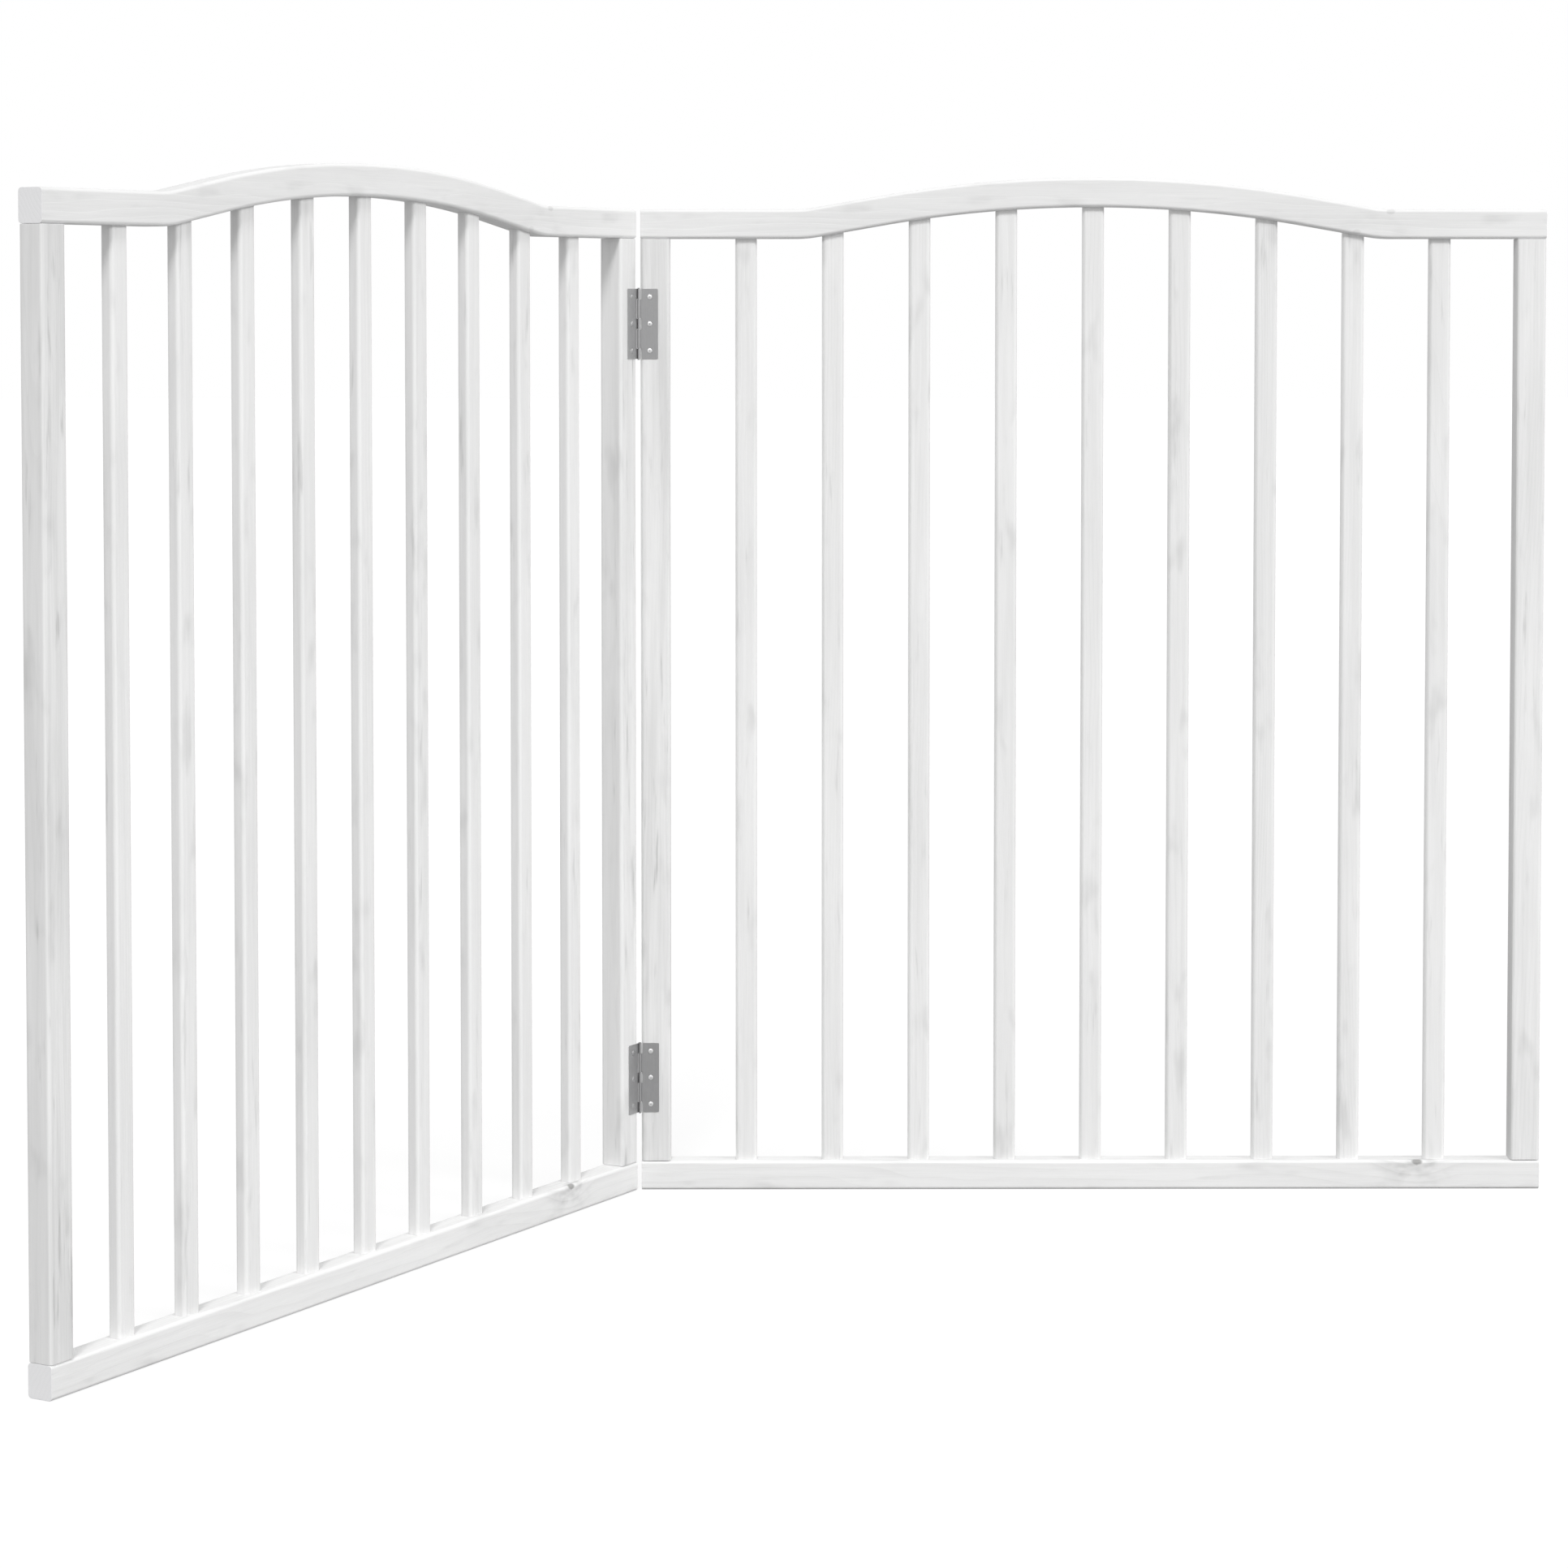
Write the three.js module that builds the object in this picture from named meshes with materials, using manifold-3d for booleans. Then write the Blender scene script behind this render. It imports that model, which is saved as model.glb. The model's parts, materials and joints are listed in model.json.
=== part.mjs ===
// A folding pet gate of two slatted wooden panels joined by two steel butt hinges.
// Millimetres, +Z up. The right panel runs along X with its front face towards -Y. The left panel
// is folded forward about the hinge pins, and the gate stands on its two bottom rails.
// The origin is under the middle of the whole gate's box, on the floor.
import * as THREE from "three";
import { mergeVertices } from "three/addons/utils/BufferGeometryUtils.js";
import Module from "manifold-3d";

const wasm = await Module();
wasm.setup();

// ---- Driving dimensions ----

const PANEL_WIDTH = 800;
const END_HEIGHT = 872; // top of a panel at its two ends
const ARCH_RISE = 28; // how much higher the middle of the top rail is
const THICKNESS = 22; // front to back, of the rails and posts
const RAIL_HEIGHT = 26;
const POST_WIDTH = 26;
const SLAT_WIDTH = 19;
const SLAT_DEPTH = 11;
const SLAT_COUNT = 9;
const EDGE_RADIUS = 3; // rounding along every wooden edge
const FOLD_DEG = 60; // how far the left panel is turned forward from flat

// The top rail's upper edge: flat ends, a small hollow arc, a straight slope and a long crown.
const CROWN_RADIUS = 1100;
const HOLLOW_RADIUS = 100;
const SLOPE = THREE.MathUtils.degToRad(10);

const FIT = 0.3; // gap between pieces that touch
const SLAT_INSET = 9; // how deep a slat's end sits in its mortise
const DOWEL_RADIUS = 4;
const DOWEL_IN_RAIL = 16;
const DOWEL_IN_POST = 20;

const PIN_TO_EDGE = 1.5; // from the hinge axis to each panel's edge
const PIN_TO_FACE = 1.25; // from the hinge axis back to the panels' front faces
const PIN_RADIUS = 0.7;
const PIN_CLEARANCE = 0.05;
const PIN_HEAD_RADIUS = 1.3;
const PIN_HEAD_HEIGHT = 0.5;
const KNUCKLE_RADIUS = 1.5;
const KNUCKLE_GAP = 0.25;
const NOTCH_ROOM = 0.4; // how far a notch in a leaf stays clear of the other leaf's knuckle
const RIGHT_NOTCH_EXTRA = 0.7; // the right leaf's notches are this much deeper
const LEAF_LENGTH = 62;
const LEAF_WIDTH = 17; // from the hinge axis to the leaf's outer edge
const LEAF_THICKNESS = 0.8;
const SHORT_KNUCKLE = 9.2; // the left leaf has three of these
const HINGE_HEIGHTS = [101, 771]; // centres of the lower and upper hinge
const SCREW_OFFSET = 9.7; // from the hinge axis to the line of screws
const SCREW_SPACING = 23.7;
const SCREW_HEAD_RADIUS = 2.2;
const SCREW_HEAD_HEIGHT = 1.1;
const SCREW_RADIUS = 1.2;
const SCREW_LENGTH = 14;
const DRIVE_SLOT = 0.6; // width of the cross recess
const DRIVE_SPAN = 2.2;
const DRIVE_DEPTH = 0.7;
const CUT_OVERRUN = 1; // how far a cutting shape stands out of the face it cuts
const CUT_LAP = 0.01; // how far the two shapes of one cutter overlap

const ROUND_SIDES = 12; // facets round a turned piece

// ---- Materials ----

const wood = new THREE.MeshStandardMaterial({ color: 0xe4e4e2, roughness: 0.6, metalness: 0 });
const dowelWood = new THREE.MeshStandardMaterial({ color: 0xc9b28c, roughness: 0.8, metalness: 0 });
const steel = new THREE.MeshStandardMaterial({ color: 0x98999b, roughness: 0.4, metalness: 0.9 });

// ---- Solids ----

function solid(geometry) {
  geometry.deleteAttribute("normal");
  geometry.deleteAttribute("uv");
  const merged = mergeVertices(geometry, 1e-4);
  const vertProperties = merged.attributes.position.array;
  const triVerts = new Uint32Array(merged.index.array);
  return new wasm.Manifold(new wasm.Mesh({ numProp: 3, vertProperties, triVerts }));
}

function mesh(name, body, material) {
  const { vertProperties, triVerts } = body.getMesh();
  const geometry = new THREE.BufferGeometry();
  geometry.setAttribute("position", new THREE.BufferAttribute(vertProperties, 3));
  geometry.setIndex(new THREE.BufferAttribute(triVerts, 1));
  geometry.computeVertexNormals();
  const made = new THREE.Mesh(geometry, material);
  made.name = name;
  return made;
}

// A box from its lowest and highest corners.
function block(low, high) {
  const size = high.map((value, i) => value - low[i]);
  const middle = high.map((value, i) => (value + low[i]) / 2);
  return solid(new THREE.BoxGeometry(...size).translate(...middle));
}

// An upright round bar standing on height z, on the Z axis.
function rod(radius, z, length) {
  const geometry = new THREE.CylinderGeometry(radius, radius, length, ROUND_SIDES);
  return solid(geometry.rotateX(Math.PI / 2).translate(0, 0, z + length / 2));
}

// An upright bar of rounded rectangular section standing on height z, on the Z axis.
function bar(width, depth, z, length, radius = EDGE_RADIUS) {
  const x = width / 2 - radius;
  const y = depth / 2 - radius;
  const quarter = Math.PI / 2;
  const section = new THREE.Shape();
  section.absarc(x, y, radius, 0, quarter);
  section.absarc(-x, y, radius, quarter, 2 * quarter);
  section.absarc(-x, -y, radius, 2 * quarter, 3 * quarter);
  section.absarc(x, -y, radius, 3 * quarter, 4 * quarter);
  const geometry = new THREE.ExtrudeGeometry(section, {
    depth: length,
    bevelEnabled: false,
    curveSegments: 2,
  });
  return solid(geometry.translate(0, 0, z));
}

// ---- The arch of the top rail, in a panel frame centred on the panel, floor at z = 0 ----

const UNDERSIDE = END_HEIGHT - RAIL_HEIGHT;
const crownCentre = END_HEIGHT + ARCH_RISE - CROWN_RADIUS;
const hollowCentre = END_HEIGHT + HOLLOW_RADIUS;
const slopeDrop =
  ARCH_RISE - (CROWN_RADIUS + HOLLOW_RADIUS) * (1 - Math.cos(SLOPE));
const hollowX =
  (CROWN_RADIUS + HOLLOW_RADIUS) * Math.sin(SLOPE) + slopeDrop / Math.tan(SLOPE);

// Height of the top rail's underside at a distance x from the panel's middle.
function undersideAt(x) {
  const fromMiddle = Math.abs(x);
  const crown = CROWN_RADIUS - RAIL_HEIGHT;
  const hollow = HOLLOW_RADIUS + RAIL_HEIGHT;
  if (fromMiddle >= hollowX) return UNDERSIDE;
  if (fromMiddle <= crown * Math.sin(SLOPE)) {
    return crownCentre + Math.sqrt(crown ** 2 - fromMiddle ** 2);
  }
  const hollowStart = hollowX - hollow * Math.sin(SLOPE);
  if (fromMiddle >= hollowStart) {
    return hollowCentre - Math.sqrt(hollow ** 2 - (hollowX - fromMiddle) ** 2);
  }
  const hollowEnd = hollowCentre - hollow * Math.cos(SLOPE);
  return hollowEnd + (hollowStart - fromMiddle) * Math.tan(SLOPE);
}

// The rail seen from the front, past the panel's ends by a little on both sides.
function archOutline(overhang) {
  const down = -Math.PI / 2;
  const up = Math.PI / 2;
  const reach = PANEL_WIDTH / 2 + overhang;
  const crown = CROWN_RADIUS - RAIL_HEIGHT;
  const hollow = HOLLOW_RADIUS + RAIL_HEIGHT;
  const outline = new THREE.Shape();
  outline.moveTo(-reach, UNDERSIDE);
  outline.lineTo(-hollowX, UNDERSIDE);
  outline.absarc(-hollowX, hollowCentre, hollow, down, down + SLOPE);
  outline.absarc(0, crownCentre, crown, up + SLOPE, up - SLOPE, true);
  outline.absarc(hollowX, hollowCentre, hollow, down - SLOPE, down);
  outline.lineTo(reach, UNDERSIDE);
  outline.lineTo(reach, END_HEIGHT);
  outline.absarc(hollowX, hollowCentre, HOLLOW_RADIUS, down, down - SLOPE, true);
  outline.absarc(0, crownCentre, CROWN_RADIUS, up - SLOPE, up + SLOPE);
  outline.absarc(-hollowX, hollowCentre, HOLLOW_RADIUS, down + SLOPE, down, true);
  outline.lineTo(-reach, END_HEIGHT);
  return outline;
}

// ---- Pieces of one panel, in the same panel frame ----

const postX = (PANEL_WIDTH - POST_WIDTH) / 2;
const openWidth = PANEL_WIDTH - 2 * POST_WIDTH;
const slatGap = (openWidth - SLAT_COUNT * SLAT_WIDTH) / (SLAT_COUNT + 1);
const slatPitch = SLAT_WIDTH + slatGap;
const slatXs = Array.from(
  { length: SLAT_COUNT },
  (_, i) => (i - (SLAT_COUNT - 1) / 2) * slatPitch,
);

const slatBottom = RAIL_HEIGHT - SLAT_INSET;
const slatTop = (x) => undersideAt(x) + SLAT_INSET;
const dowelLength = DOWEL_IN_RAIL + DOWEL_IN_POST;
const dowelBottoms = [RAIL_HEIGHT - DOWEL_IN_RAIL, UNDERSIDE - DOWEL_IN_POST];

function slat(x) {
  return bar(SLAT_WIDTH, SLAT_DEPTH, slatBottom, slatTop(x) - slatBottom);
}

// The room that a slat takes in the rails: its own shape with the fit all round.
function mortise(x) {
  const length = slatTop(x) - slatBottom + 2 * FIT;
  const width = SLAT_WIDTH + 2 * FIT;
  const depth = SLAT_DEPTH + 2 * FIT;
  return bar(width, depth, slatBottom - FIT, length, EDGE_RADIUS + FIT).translate([x, 0, 0]);
}

function dowelHoles(x) {
  const holes = dowelBottoms.map((z) =>
    rod(DOWEL_RADIUS + FIT, z - FIT, dowelLength + 2 * FIT),
  );
  return holes[0].add(holes[1]).translate([x, 0, 0]);
}

function cutForFrame(rail) {
  let made = rail;
  for (const x of slatXs) made = made.subtract(mortise(x));
  for (const x of [-postX, postX]) made = made.subtract(dowelHoles(x));
  return made;
}

function bottomRail() {
  const upright = bar(RAIL_HEIGHT, THICKNESS, -PANEL_WIDTH / 2, PANEL_WIDTH);
  return cutForFrame(upright.rotate([0, 90, 0]).translate([0, 0, RAIL_HEIGHT / 2]));
}

function topRail() {
  const overhang = 2 * EDGE_RADIUS;
  const geometry = new THREE.ExtrudeGeometry(archOutline(overhang), {
    depth: THICKNESS - 2 * EDGE_RADIUS,
    bevelThickness: EDGE_RADIUS,
    bevelSize: EDGE_RADIUS,
    bevelOffset: -EDGE_RADIUS,
    bevelSegments: 2,
    curveSegments: 4,
  });
  geometry.rotateX(Math.PI / 2).translate(0, THICKNESS / 2 - EDGE_RADIUS, 0);
  const reach = PANEL_WIDTH / 2;
  const squareEnds = block([-reach, -THICKNESS, 0], [reach, THICKNESS, 2 * END_HEIGHT]);
  return cutForFrame(solid(geometry).intersect(squareEnds));
}

function post() {
  const length = UNDERSIDE - RAIL_HEIGHT - 2 * FIT;
  return bar(POST_WIDTH, THICKNESS, RAIL_HEIGHT + FIT, length).subtract(dowelHoles(0));
}

// ---- Hinge pieces, on the hinge axis, hinge centre at z = 0 ----

const faceY = PIN_TO_FACE;
const leafY = PIN_TO_FACE - LEAF_THICKNESS;
const screwHeights = [-SCREW_SPACING, 0, SCREW_SPACING];
const longKnuckle = (LEAF_LENGTH - 3 * SHORT_KNUCKLE - 4 * KNUCKLE_GAP) / 2;

// Knuckles from the bottom up, as [owner, bottom, height]. +1 is the right leaf, -1 the left.
const knuckles = [];
let knuckleBottom = -LEAF_LENGTH / 2;
for (const owner of [-1, 1, -1, 1, -1]) {
  const height = owner < 0 ? SHORT_KNUCKLE : longKnuckle;
  knuckles.push([owner, knuckleBottom, height]);
  knuckleBottom += height + KNUCKLE_GAP;
}

// A turned piece whose axis is +Y, made from [radius, y] points going from +Y to -Y.
function turned(points) {
  const profile = points.map(([radius, y]) => new THREE.Vector2(radius, y));
  return solid(new THREE.LatheGeometry(profile.reverse(), ROUND_SIDES));
}

// A countersunk wood screw along +Y, its head's face at y = 0; grow makes the room for it.
function screwShape(grow = 0) {
  const head = SCREW_HEAD_RADIUS + grow;
  const shank = SCREW_RADIUS + grow;
  const length = SCREW_LENGTH + grow;
  return turned([
    [0, length],
    [shank, length - 2 * SCREW_RADIUS],
    [shank, SCREW_HEAD_HEIGHT],
    [head, 0],
    [0, 0],
  ]);
}

function screw() {
  const half = DRIVE_SPAN / 2;
  const slot = DRIVE_SLOT / 2;
  const across = block([-half, -CUT_OVERRUN, -slot], [half, DRIVE_DEPTH, slot]);
  const upright = block([-slot, -CUT_OVERRUN, -half], [slot, DRIVE_DEPTH, half]);
  return screwShape().subtract(across.add(upright));
}

// Room for the screws of one leaf, open towards the front; side is +1 right, -1 left.
function screwHoles(side) {
  const head = SCREW_HEAD_RADIUS + FIT;
  const mouth = new THREE.CylinderGeometry(head, head, CUT_OVERRUN, ROUND_SIDES);
  mouth.translate(0, CUT_LAP - CUT_OVERRUN / 2, 0);
  const hole = screwShape(FIT).add(solid(mouth));
  return screwHeights.map((z) => hole.translate([side * SCREW_OFFSET, leafY, z]));
}

function leaf(side) {
  const half = LEAF_LENGTH / 2;
  const notch = KNUCKLE_RADIUS + NOTCH_ROOM + (side > 0 ? RIGHT_NOTCH_EXTRA : 0);
  const span = (from, to) => [Math.min(side * from, side * to), Math.max(side * from, side * to)];
  const [left, right] = span(0, LEAF_WIDTH);
  let made = block([left, leafY, -half], [right, faceY, half]);
  for (const [owner, bottom, height] of knuckles) {
    const top = bottom + height;
    if (owner === side) {
      made = made.add(rod(KNUCKLE_RADIUS, bottom, height));
      continue;
    }
    const [low, high] = span(-KNUCKLE_RADIUS, notch);
    const room = [
      [low, -2 * KNUCKLE_RADIUS, bottom - KNUCKLE_GAP],
      [high, 2 * KNUCKLE_RADIUS, top + KNUCKLE_GAP],
    ];
    made = made.subtract(block(...room));
  }
  made = made.subtract(rod(PIN_RADIUS + PIN_CLEARANCE, -LEAF_LENGTH, 2 * LEAF_LENGTH));
  for (const hole of screwHoles(side)) made = made.subtract(hole);
  return made;
}

function pin() {
  const end = LEAF_LENGTH / 2 + FIT;
  const head = end + PIN_HEAD_HEIGHT;
  return turned([
    [0, head],
    [PIN_HEAD_RADIUS, head],
    [PIN_HEAD_RADIUS, end],
    [PIN_RADIUS, end],
    [PIN_RADIUS, -end],
    [PIN_HEAD_RADIUS, -end],
    [PIN_HEAD_RADIUS, -head],
    [0, -head],
  ]).rotate([90, 0, 0]);
}

// ---- Assembly ----

// One panel with its hinge leaves and screws, on the hinge axis; side is +1 right, -1 left.
function buildPanel(name, side) {
  const panel = new THREE.Group();
  panel.position.set(side * (PIN_TO_EDGE + PANEL_WIDTH / 2), PIN_TO_FACE + THICKNESS / 2, 0);
  panel.add(mesh(`${name}_top_rail`, topRail(), wood));
  panel.add(mesh(`${name}_bottom_rail`, bottomRail(), wood));

  let hingePostBody = post();
  for (const height of HINGE_HEIGHTS) {
    for (const hole of screwHoles(side)) {
      const toPost = [-side * (PIN_TO_EDGE + POST_WIDTH / 2), -PIN_TO_FACE - THICKNESS / 2, height];
      hingePostBody = hingePostBody.subtract(hole.translate(toPost));
    }
  }
  const hingePost = mesh(`${name}_hinge_post`, hingePostBody, wood);
  hingePost.position.x = -side * postX;
  panel.add(hingePost);
  const endPost = mesh(`${name}_end_post`, post(), wood);
  endPost.position.x = side * postX;
  panel.add(endPost);

  slatXs.forEach((x, i) => {
    const made = mesh(`${name}_slat_${i + 1}`, slat(x), wood);
    made.position.x = x;
    panel.add(made);
  });

  const corners = [
    ["bottom_hinge_dowel", -side * postX, dowelBottoms[0]],
    ["top_hinge_dowel", -side * postX, dowelBottoms[1]],
    ["bottom_end_dowel", side * postX, dowelBottoms[0]],
    ["top_end_dowel", side * postX, dowelBottoms[1]],
  ];
  for (const [label, x, z] of corners) {
    const dowel = mesh(`${name}_${label}`, rod(DOWEL_RADIUS, 0, dowelLength), dowelWood);
    dowel.position.set(x, 0, z);
    panel.add(dowel);
  }

  const body = new THREE.Group();
  body.add(panel);
  ["lower", "upper"].forEach((level, i) => {
    const hinge = new THREE.Group();
    hinge.position.z = HINGE_HEIGHTS[i];
    hinge.add(mesh(`${level}_hinge_${name}_leaf`, leaf(side), steel));
    screwHeights.forEach((z, j) => {
      const made = mesh(`${level}_hinge_${name}_screw_${j + 1}`, screw(), steel);
      made.position.set(side * SCREW_OFFSET, leafY, z);
      hinge.add(made);
    });
    if (side > 0) hinge.add(mesh(`${level}_hinge_pin`, pin(), steel));
    body.add(hinge);
  });
  return body;
}

const gate = new THREE.Group();
const rightPanel = buildPanel("right", 1);
const leftPanel = buildPanel("left", -1);
leftPanel.rotation.z = THREE.MathUtils.degToRad(FOLD_DEG);
gate.add(rightPanel, leftPanel);

// Bring the middle of the gate's box over the origin.
const bounds = new THREE.Box3().setFromObject(gate, true);
const middle = bounds.getCenter(new THREE.Vector3());
gate.position.set(-middle.x, -middle.y, -bounds.min.z);

const group = new THREE.Group();
group.add(gate);

export default group;
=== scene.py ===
import json
import math
import random

import bmesh
import bpy
from mathutils import Matrix, Vector


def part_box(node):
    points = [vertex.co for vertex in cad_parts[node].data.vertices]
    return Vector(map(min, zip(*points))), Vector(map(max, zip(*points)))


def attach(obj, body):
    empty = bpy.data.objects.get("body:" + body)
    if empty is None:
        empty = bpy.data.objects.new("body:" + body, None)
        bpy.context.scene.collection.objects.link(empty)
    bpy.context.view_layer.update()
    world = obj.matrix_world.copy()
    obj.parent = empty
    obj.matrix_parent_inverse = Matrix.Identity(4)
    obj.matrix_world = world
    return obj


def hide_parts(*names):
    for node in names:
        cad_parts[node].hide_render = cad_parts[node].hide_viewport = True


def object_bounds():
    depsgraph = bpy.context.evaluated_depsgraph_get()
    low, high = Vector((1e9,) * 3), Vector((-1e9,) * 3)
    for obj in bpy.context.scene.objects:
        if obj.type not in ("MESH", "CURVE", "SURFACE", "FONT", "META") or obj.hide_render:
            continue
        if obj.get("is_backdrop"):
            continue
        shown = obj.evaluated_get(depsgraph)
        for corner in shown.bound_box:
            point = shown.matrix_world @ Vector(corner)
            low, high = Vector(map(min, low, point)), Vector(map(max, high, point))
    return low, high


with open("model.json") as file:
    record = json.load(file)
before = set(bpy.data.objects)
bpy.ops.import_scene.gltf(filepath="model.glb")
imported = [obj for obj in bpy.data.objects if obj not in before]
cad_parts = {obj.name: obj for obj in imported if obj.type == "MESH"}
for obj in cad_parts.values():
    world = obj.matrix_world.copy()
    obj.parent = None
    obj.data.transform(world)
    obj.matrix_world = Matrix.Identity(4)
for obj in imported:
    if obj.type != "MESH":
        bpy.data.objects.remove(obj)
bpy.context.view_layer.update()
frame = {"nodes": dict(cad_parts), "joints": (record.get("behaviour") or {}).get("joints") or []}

# ---------------------------------------------------------------- bottom rails
# A planed strip of softwood at the foot of each panel, rounded along its four edges and
# finished in a thin white wash that lets the grain show. Its upper face is mortised for the
# slats and bored for the corner dowels, and its flat underside is what the gate stands on.

MM = 0.001
EDGE_RADIUS = 3.0 * MM
EDGE_STEPS = 6
END_EASE = 0.45 * MM
EASE_STEPS = 2
HAIRLINE = 0.12 * MM  # the line between two sticks where they meet
BORE_STEPS = 32
CREASE = math.radians(38)
SQUARE_ON = 0.9  # how nearly a face or an edge lies along a direction to count as square to it

rail_low, rail_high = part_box("right_bottom_rail")
PANEL_WIDTH = rail_high.x - rail_low.x
THICKNESS = rail_high.y - rail_low.y
RAIL_HEIGHT = rail_high.z - rail_low.z
SLATS = range(1, 10)

fold = next(joint for joint in frame["joints"] if joint["name"] == "panel_fold")
HINGE_LINE = Vector((fold["pos_m"][0], fold["pos_m"][1], 0))
FOLD = math.radians(-fold["range_deg"][0])  # the gate is flat at the joint's lower limit

right_middle = Vector(((rail_low.x + rail_high.x) / 2, (rail_low.y + rail_high.y) / 2, 0))
from_hinge = right_middle - HINGE_LINE
left_turn = Matrix.Translation(HINGE_LINE) @ Matrix.Rotation(FOLD, 4, "Z")
PANELS = {
    "right": Matrix.Translation(right_middle),
    "left": left_turn @ Matrix.Translation((-from_hinge.x, from_hinge.y, 0)),
}
TOWARDS_HINGE = {"right": -1, "left": 1}

TRUNK = 40.0  # metres of trunk that the sticks are sawn from
FROM_PITH = (0.035, 0.09)
ASIDE = (-0.05, 0.05)
chance = random.Random(31)


class Signal:
    """A shader socket that takes part in sums and feeds other nodes."""

    def __init__(self, tree, socket=None):
        self.tree = tree
        self.socket = socket

    def node(self, kind, settings=None, inputs=None, output=0):
        made = self.tree.nodes.new(kind)
        for key, value in (settings or {}).items():
            setattr(made, key, value)
        for key, value in (inputs or {}).items():
            if isinstance(value, Signal):
                self.tree.links.new(value.socket, made.inputs[key])
            else:
                made.inputs[key].default_value = value
        return Signal(self.tree, made.outputs[output])

    def math(self, operation, *values, clamp=False):
        settings = {"operation": operation, "use_clamp": clamp}
        return self.node("ShaderNodeMath", settings, dict(enumerate(values)))

    def __add__(self, other):
        return self.math("ADD", self, other)

    __radd__ = __add__

    def __sub__(self, other):
        return self.math("SUBTRACT", self, other)

    def __rsub__(self, other):
        return self.math("SUBTRACT", other, self)

    def __mul__(self, other):
        return self.math("MULTIPLY", self, other)

    __rmul__ = __mul__

    def __truediv__(self, other):
        return self.math("DIVIDE", self, other)

    def __pow__(self, other):
        return self.math("POWER", self, other)

    def fraction(self):
        return self.math("FRACT", self)

    def clamped(self):
        return self.math("ADD", self, 0.0, clamp=True)

    def band(self, low, high, out_low=0.0, out_high=1.0):
        """Eases from out_low to out_high as this value goes from low to high."""
        settings = {"interpolation_type": "SMOOTHSTEP"}
        limits = {"From Min": low, "From Max": high, "To Min": out_low, "To Max": out_high}
        return self.node("ShaderNodeMapRange", settings, {"Value": self, **limits})

    def scaled(self, x, y, z):
        """This place with its three directions scaled."""
        scale = {0: self, 1: (x, y, z)}
        return self.node("ShaderNodeVectorMath", {"operation": "MULTIPLY"}, scale)

    def noise(self, detail=2.0, rough=0.5):
        inputs = {"Vector": self, "Scale": 1.0, "Detail": detail, "Roughness": rough}
        return self.node("ShaderNodeTexNoise", None, inputs)

    def grain(self, pattern, detail=2.0, rough=0.5):
        """Noise with a pattern's repeats per metre along the grain and across it."""
        along, across = pattern
        return self.scaled(along, across, across).noise(detail, rough)

    def mix(self, first, second):
        """A colour from first to second as this value goes from 0 to 1."""
        inputs = {"Factor": self, 6: first, 7: second}
        return self.node("ShaderNodeMix", {"data_type": "RGBA"}, inputs, output=2)

    def bump(self, strength, distance):
        """The normal of a surface whose height is this value."""
        inputs = {"Strength": strength, "Distance": distance, "Height": self}
        return self.node("ShaderNodeBump", None, inputs)


def new_material(name):
    """A material whose Principled shader is still bare, and a Signal to start its nodes from."""
    material = bpy.data.materials.new(name)
    material.use_nodes = True
    return material, Signal(material.node_tree)


def dress(signal, constants, **surface):
    """Sets the Principled shader: constants on its own sockets, surface values by links."""
    shader = signal.tree.nodes["Principled BSDF"]
    for key, value in constants.items():
        shader.inputs[key].default_value = value
    for key, value in surface.items():
        signal.tree.links.new(value.socket, shader.inputs[key.replace("_", " ")])


WASH = (0.85, 0.85, 0.848)
FIBRE_TONE = (0.56, 0.56, 0.558)
KNOT_TONE = (0.34, 0.338, 0.333)
END_WASH = (0.885, 0.885, 0.895)

# The wood's patterns, as repeats per metre along the grain and across it.
WANDER = (5.0, 22.0)
RING_SPREAD = (0.6, 9.0)
PATCHES = (4.0, 30.0)
FIBRES = (32.0, 1300.0)
BROAD_CLOUDS = (4.5, 18.0)
RIBBONS = (6.0, 170.0)
STREAKS = (12.0, 140.0)
SMUDGES = (17.0, 52.0)
KNOT_EDGE = (300.0, 500.0)
KNOT_STAIN = (45.0, 80.0)
BRUSH_MARKS = (14.0, 700.0)
PORES = (900.0, 1500.0)

# How much each pattern darkens the wash.
FIBRE_DEPTH = 0.26
CLOUD_DEPTH = 0.16
RIBBON_DEPTH = 0.12
SMUDGE_DEPTH = 0.42
KNOT_RING_DEPTH = 0.14
KNOT_STAIN_DEPTH = 0.60
BARE_RINGS = 0.3  # the share of the rings that shows even where the wash is thick

PITH_WANDER = 16 * MM  # how far the rings stray along a board
RING_GAP = 3.0 * MM
RING_GAP_RANGE = 1.6 * MM
END_RING_GAP = 3.6 * MM
KNOT_HEIGHT = 0.62  # of a knot's length
KNOT_HALO = 9.0  # of a knot's half length
KNOT_PUSH = 4.5 * MM  # how far the rings bend round a knot
GRAIN_RELIEF = 0.15 * MM
RELIEF_STRENGTH = 0.5
RING_SUNK = 0.55  # how far the hard rings lie under the brushed fibres

WASH_ROUGHNESS = 0.40
BARE_ROUGHNESS = 0.25  # added where the wash is thin
BRUSH_ROUGHNESS = 0.16
WASH_GLOSS = {"Specular IOR Level": 0.45}

END_TONE = 0.08
END_RING_DEPTH = 0.05
PORE_DEPTH = 0.25
END_RING_SUNK = 0.4
END_ROUGHNESS = 0.5
PORE_ROUGHNESS = 0.2
END_GLOSS = {"Specular IOR Level": 0.35}


def shaded(colour, shade):
    """A colour dimmed by a plain factor, with its alpha."""
    return (*(channel * shade for channel in colour), 1.0)


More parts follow.
